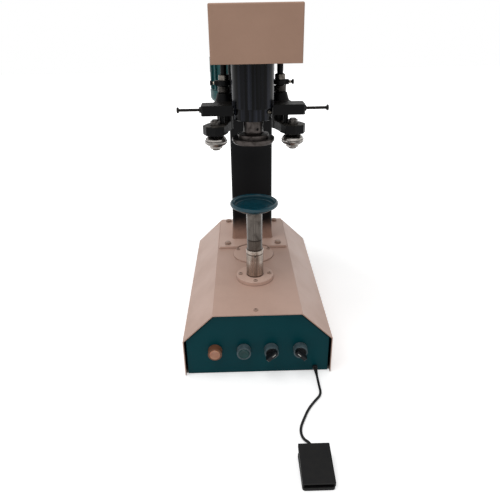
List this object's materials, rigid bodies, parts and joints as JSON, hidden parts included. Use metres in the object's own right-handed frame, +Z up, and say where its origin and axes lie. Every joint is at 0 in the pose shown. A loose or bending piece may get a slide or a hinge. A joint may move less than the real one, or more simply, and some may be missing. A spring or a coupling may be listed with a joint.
{
  "type": "can seamer",
  "caption": "Benchtop can seamer with a lifting turntable, a belt-driven chuck, two swinging seaming rollers worked by a cam, a control panel and a foot switch.",
  "frame": {"origin": "the point of the base's underside that lies under the lift and spindle axis", "axes": "+Z up along the lift and spindle axis; -Y is the side of the control panel; +X is the operator's right"},
  "size_m": [0.3, 0.869, 0.6885],
  "materials": {
    "beige_paint": "satin",
    "teal_paint": "gloss",
    "black_paint": "gloss",
    "ground_steel": "satin",
    "dark_steel": "satin",
    "zinc_screws": "satin",
    "cast_black": "satin",
    "bearing_steel": "polished",
    "aluminium": "satin",
    "belt_rubber": "matt",
    "cable_rubber": "satin",
    "black_plastic": "matt",
    "grey_plastic": "satin",
    "orange_lens": "gloss",
    "green_button": "gloss"
  },
  "bodies": {
    "machine_frame": {"access_cover": "beige_paint", "base_frame": "dark_steel", "body_cover": "beige_paint", "cable_glands": "black_plastic", "column": "black_paint", "column_base_plate": "beige_paint", "column_bolts": "zinc_screws", "control_bodies": "grey_plastic", "cover_screws": "zinc_screws", "deck_plate": "black_paint", "foot_switch_base": "black_plastic", "foot_switch_cable": "cable_rubber", "front_panel": "teal_paint", "guide_sleeve": "ground_steel", "head_bridge": "black_paint", "hood": "beige_paint", "lift_cylinder": "aluminium", "lift_flange": "beige_paint", "motor": "teal_paint", "nose_cap": "black_paint", "return_springs": "dark_steel", "side_bracket_left": "dark_steel", "side_bracket_right": "dark_steel", "spindle_barrel": "black_paint", "spindle_bearings": "bearing_steel", "stop_bolts": "dark_steel", "v_belt": "belt_rubber"},
    "lift": {"lift_shaft": "ground_steel", "turntable_bearings": "bearing_steel"},
    "table": {"turntable": "teal_paint"},
    "power_push": {"power_button": "orange_lens"},
    "start_push": {"start_button": "green_button"},
    "selector_one": {"selector_left": "black_plastic"},
    "selector_two": {"selector_right": "black_plastic"},
    "spindle_set": {"spindle": "ground_steel", "chuck": "dark_steel", "driven_pulley": "cast_black"},
    "cam_set": {"seaming_cam": "ground_steel"},
    "countershaft_set": {"countershaft": "ground_steel", "clutch_drum": "aluminium"},
    "wheel": {"counter_wheel": "ground_steel"},
    "rotor": {"motor_shaft": "ground_steel", "motor_pulley": "cast_black"},
    "treadle": {"foot_treadle": "black_plastic"},
    "arm_left": {"pivot_shaft_left": "dark_steel", "pivot_collar_left": "ground_steel", "seaming_arm_left": "dark_steel", "roller_pin_left": "zinc_screws", "adjusting_lever_left": "dark_steel", "cam_lever_left": "dark_steel"},
    "roll_left": {"seaming_roller_left": "ground_steel"},
    "follower_left": {"cam_follower_left": "ground_steel"},
    "arm_right": {"pivot_shaft_right": "dark_steel", "pivot_collar_right": "ground_steel", "seaming_arm_right": "dark_steel", "roller_pin_right": "zinc_screws", "adjusting_lever_right": "dark_steel", "cam_lever_right": "dark_steel"},
    "roll_right": {"seaming_roller_right": "ground_steel"},
    "follower_right": {"cam_follower_right": "ground_steel"}
  },
  "joints": [
    {"name": "lift_slide", "type": "slide", "parent": "machine_frame", "child": "lift", "axis": [0, 0, 1], "range_m": [0, 0.045]},
    {"name": "turntable_spin", "type": "hinge", "parent": "lift", "child": "table", "pos_m": [0, 0, 0.3], "axis": [0, 0, 1], "continuous": true},
    {"name": "spindle_spin", "type": "hinge", "parent": "machine_frame", "child": "spindle_set", "pos_m": [0, 0, 0.5], "axis": [0, 0, 1], "continuous": true},
    {"name": "motor_spin", "type": "hinge", "parent": "machine_frame", "child": "rotor", "pos_m": [-0.038, 0.363, 0.6], "axis": [0, 0, 1], "continuous": true},
    {"name": "counter_wheel_spin", "type": "hinge", "parent": "machine_frame", "child": "wheel", "pos_m": [0, -0.05625, 0.64], "axis": [0, 0, 1], "continuous": true},
    {"name": "cam_spin", "type": "hinge", "parent": "machine_frame", "child": "cam_set", "pos_m": [0, 0, 0.615], "axis": [0, 0, 1], "range_deg": [0, 90]},
    {"name": "countershaft_spin", "type": "hinge", "parent": "machine_frame", "child": "countershaft_set", "pos_m": [0, -0.05625, 0.625], "axis": [0, 0, 1], "range_deg": [-360, 0]},
    {"name": "seaming_arm_right_swing", "type": "hinge", "parent": "machine_frame", "child": "arm_right", "pos_m": [0.055, 0.05, 0.473], "axis": [0, 0, 1], "range_deg": [-17.5, 0], "stiffness_Nm_per_rad": 2, "springref_deg": 11.46},
    {"name": "seaming_arm_left_swing", "type": "hinge", "parent": "machine_frame", "child": "arm_left", "pos_m": [-0.055, 0.05, 0.473], "axis": [0, 0, 1], "range_deg": [0, 12.5], "stiffness_Nm_per_rad": 2, "springref_deg": -11.46},
    {"name": "seaming_roller_right_spin", "type": "hinge", "parent": "arm_right", "child": "roll_right", "pos_m": [0.07703, 0.00392, 0.45], "axis": [0, 0, 1], "continuous": true},
    {"name": "seaming_roller_left_spin", "type": "hinge", "parent": "arm_left", "child": "roll_left", "pos_m": [-0.07293, 0.00217, 0.45], "axis": [0, 0, 1], "continuous": true},
    {"name": "cam_follower_right_spin", "type": "hinge", "parent": "arm_right", "child": "follower_right", "pos_m": [0.012, 0.044, 0.619], "axis": [0, 0, 1], "continuous": true},
    {"name": "cam_follower_left_spin", "type": "hinge", "parent": "arm_left", "child": "follower_left", "pos_m": [-0.012, 0.044, 0.6315], "axis": [0, 0, 1], "continuous": true},
    {"name": "power_button_push", "type": "slide", "parent": "machine_frame", "child": "power_push", "axis": [0, 1, 0], "range_m": [0, 0.004], "stiffness_N_per_m": 400, "springref_m": -0.003},
    {"name": "start_button_push", "type": "slide", "parent": "machine_frame", "child": "start_push", "axis": [0, 1, 0], "range_m": [0, 0.004], "stiffness_N_per_m": 400, "springref_m": -0.003},
    {"name": "selector_left_turn", "type": "hinge", "parent": "machine_frame", "child": "selector_one", "pos_m": [0.027, -0.159, 0.0585], "axis": [0, -1, 0], "range_deg": [0, 90]},
    {"name": "selector_right_turn", "type": "hinge", "parent": "machine_frame", "child": "selector_two", "pos_m": [0.0855, -0.159, 0.0585], "axis": [0, -1, 0], "range_deg": [-90, 0]},
    {"name": "foot_treadle_press", "type": "hinge", "parent": "machine_frame", "child": "treadle", "pos_m": [0.084, -0.411, 0.0085], "axis": [1, 0, 0], "range_deg": [-6, 0], "stiffness_Nm_per_rad": 1, "springref_deg": 8.59}
  ],
  "couplings": [
    {"joint": "motor_spin", "follows": "spindle_spin", "ratio": 1.5909},
    {"joint": "counter_wheel_spin", "follows": "spindle_spin", "ratio": -0.25},
    {"joint": "countershaft_spin", "follows": "cam_spin", "ratio": -4}
  ]
}
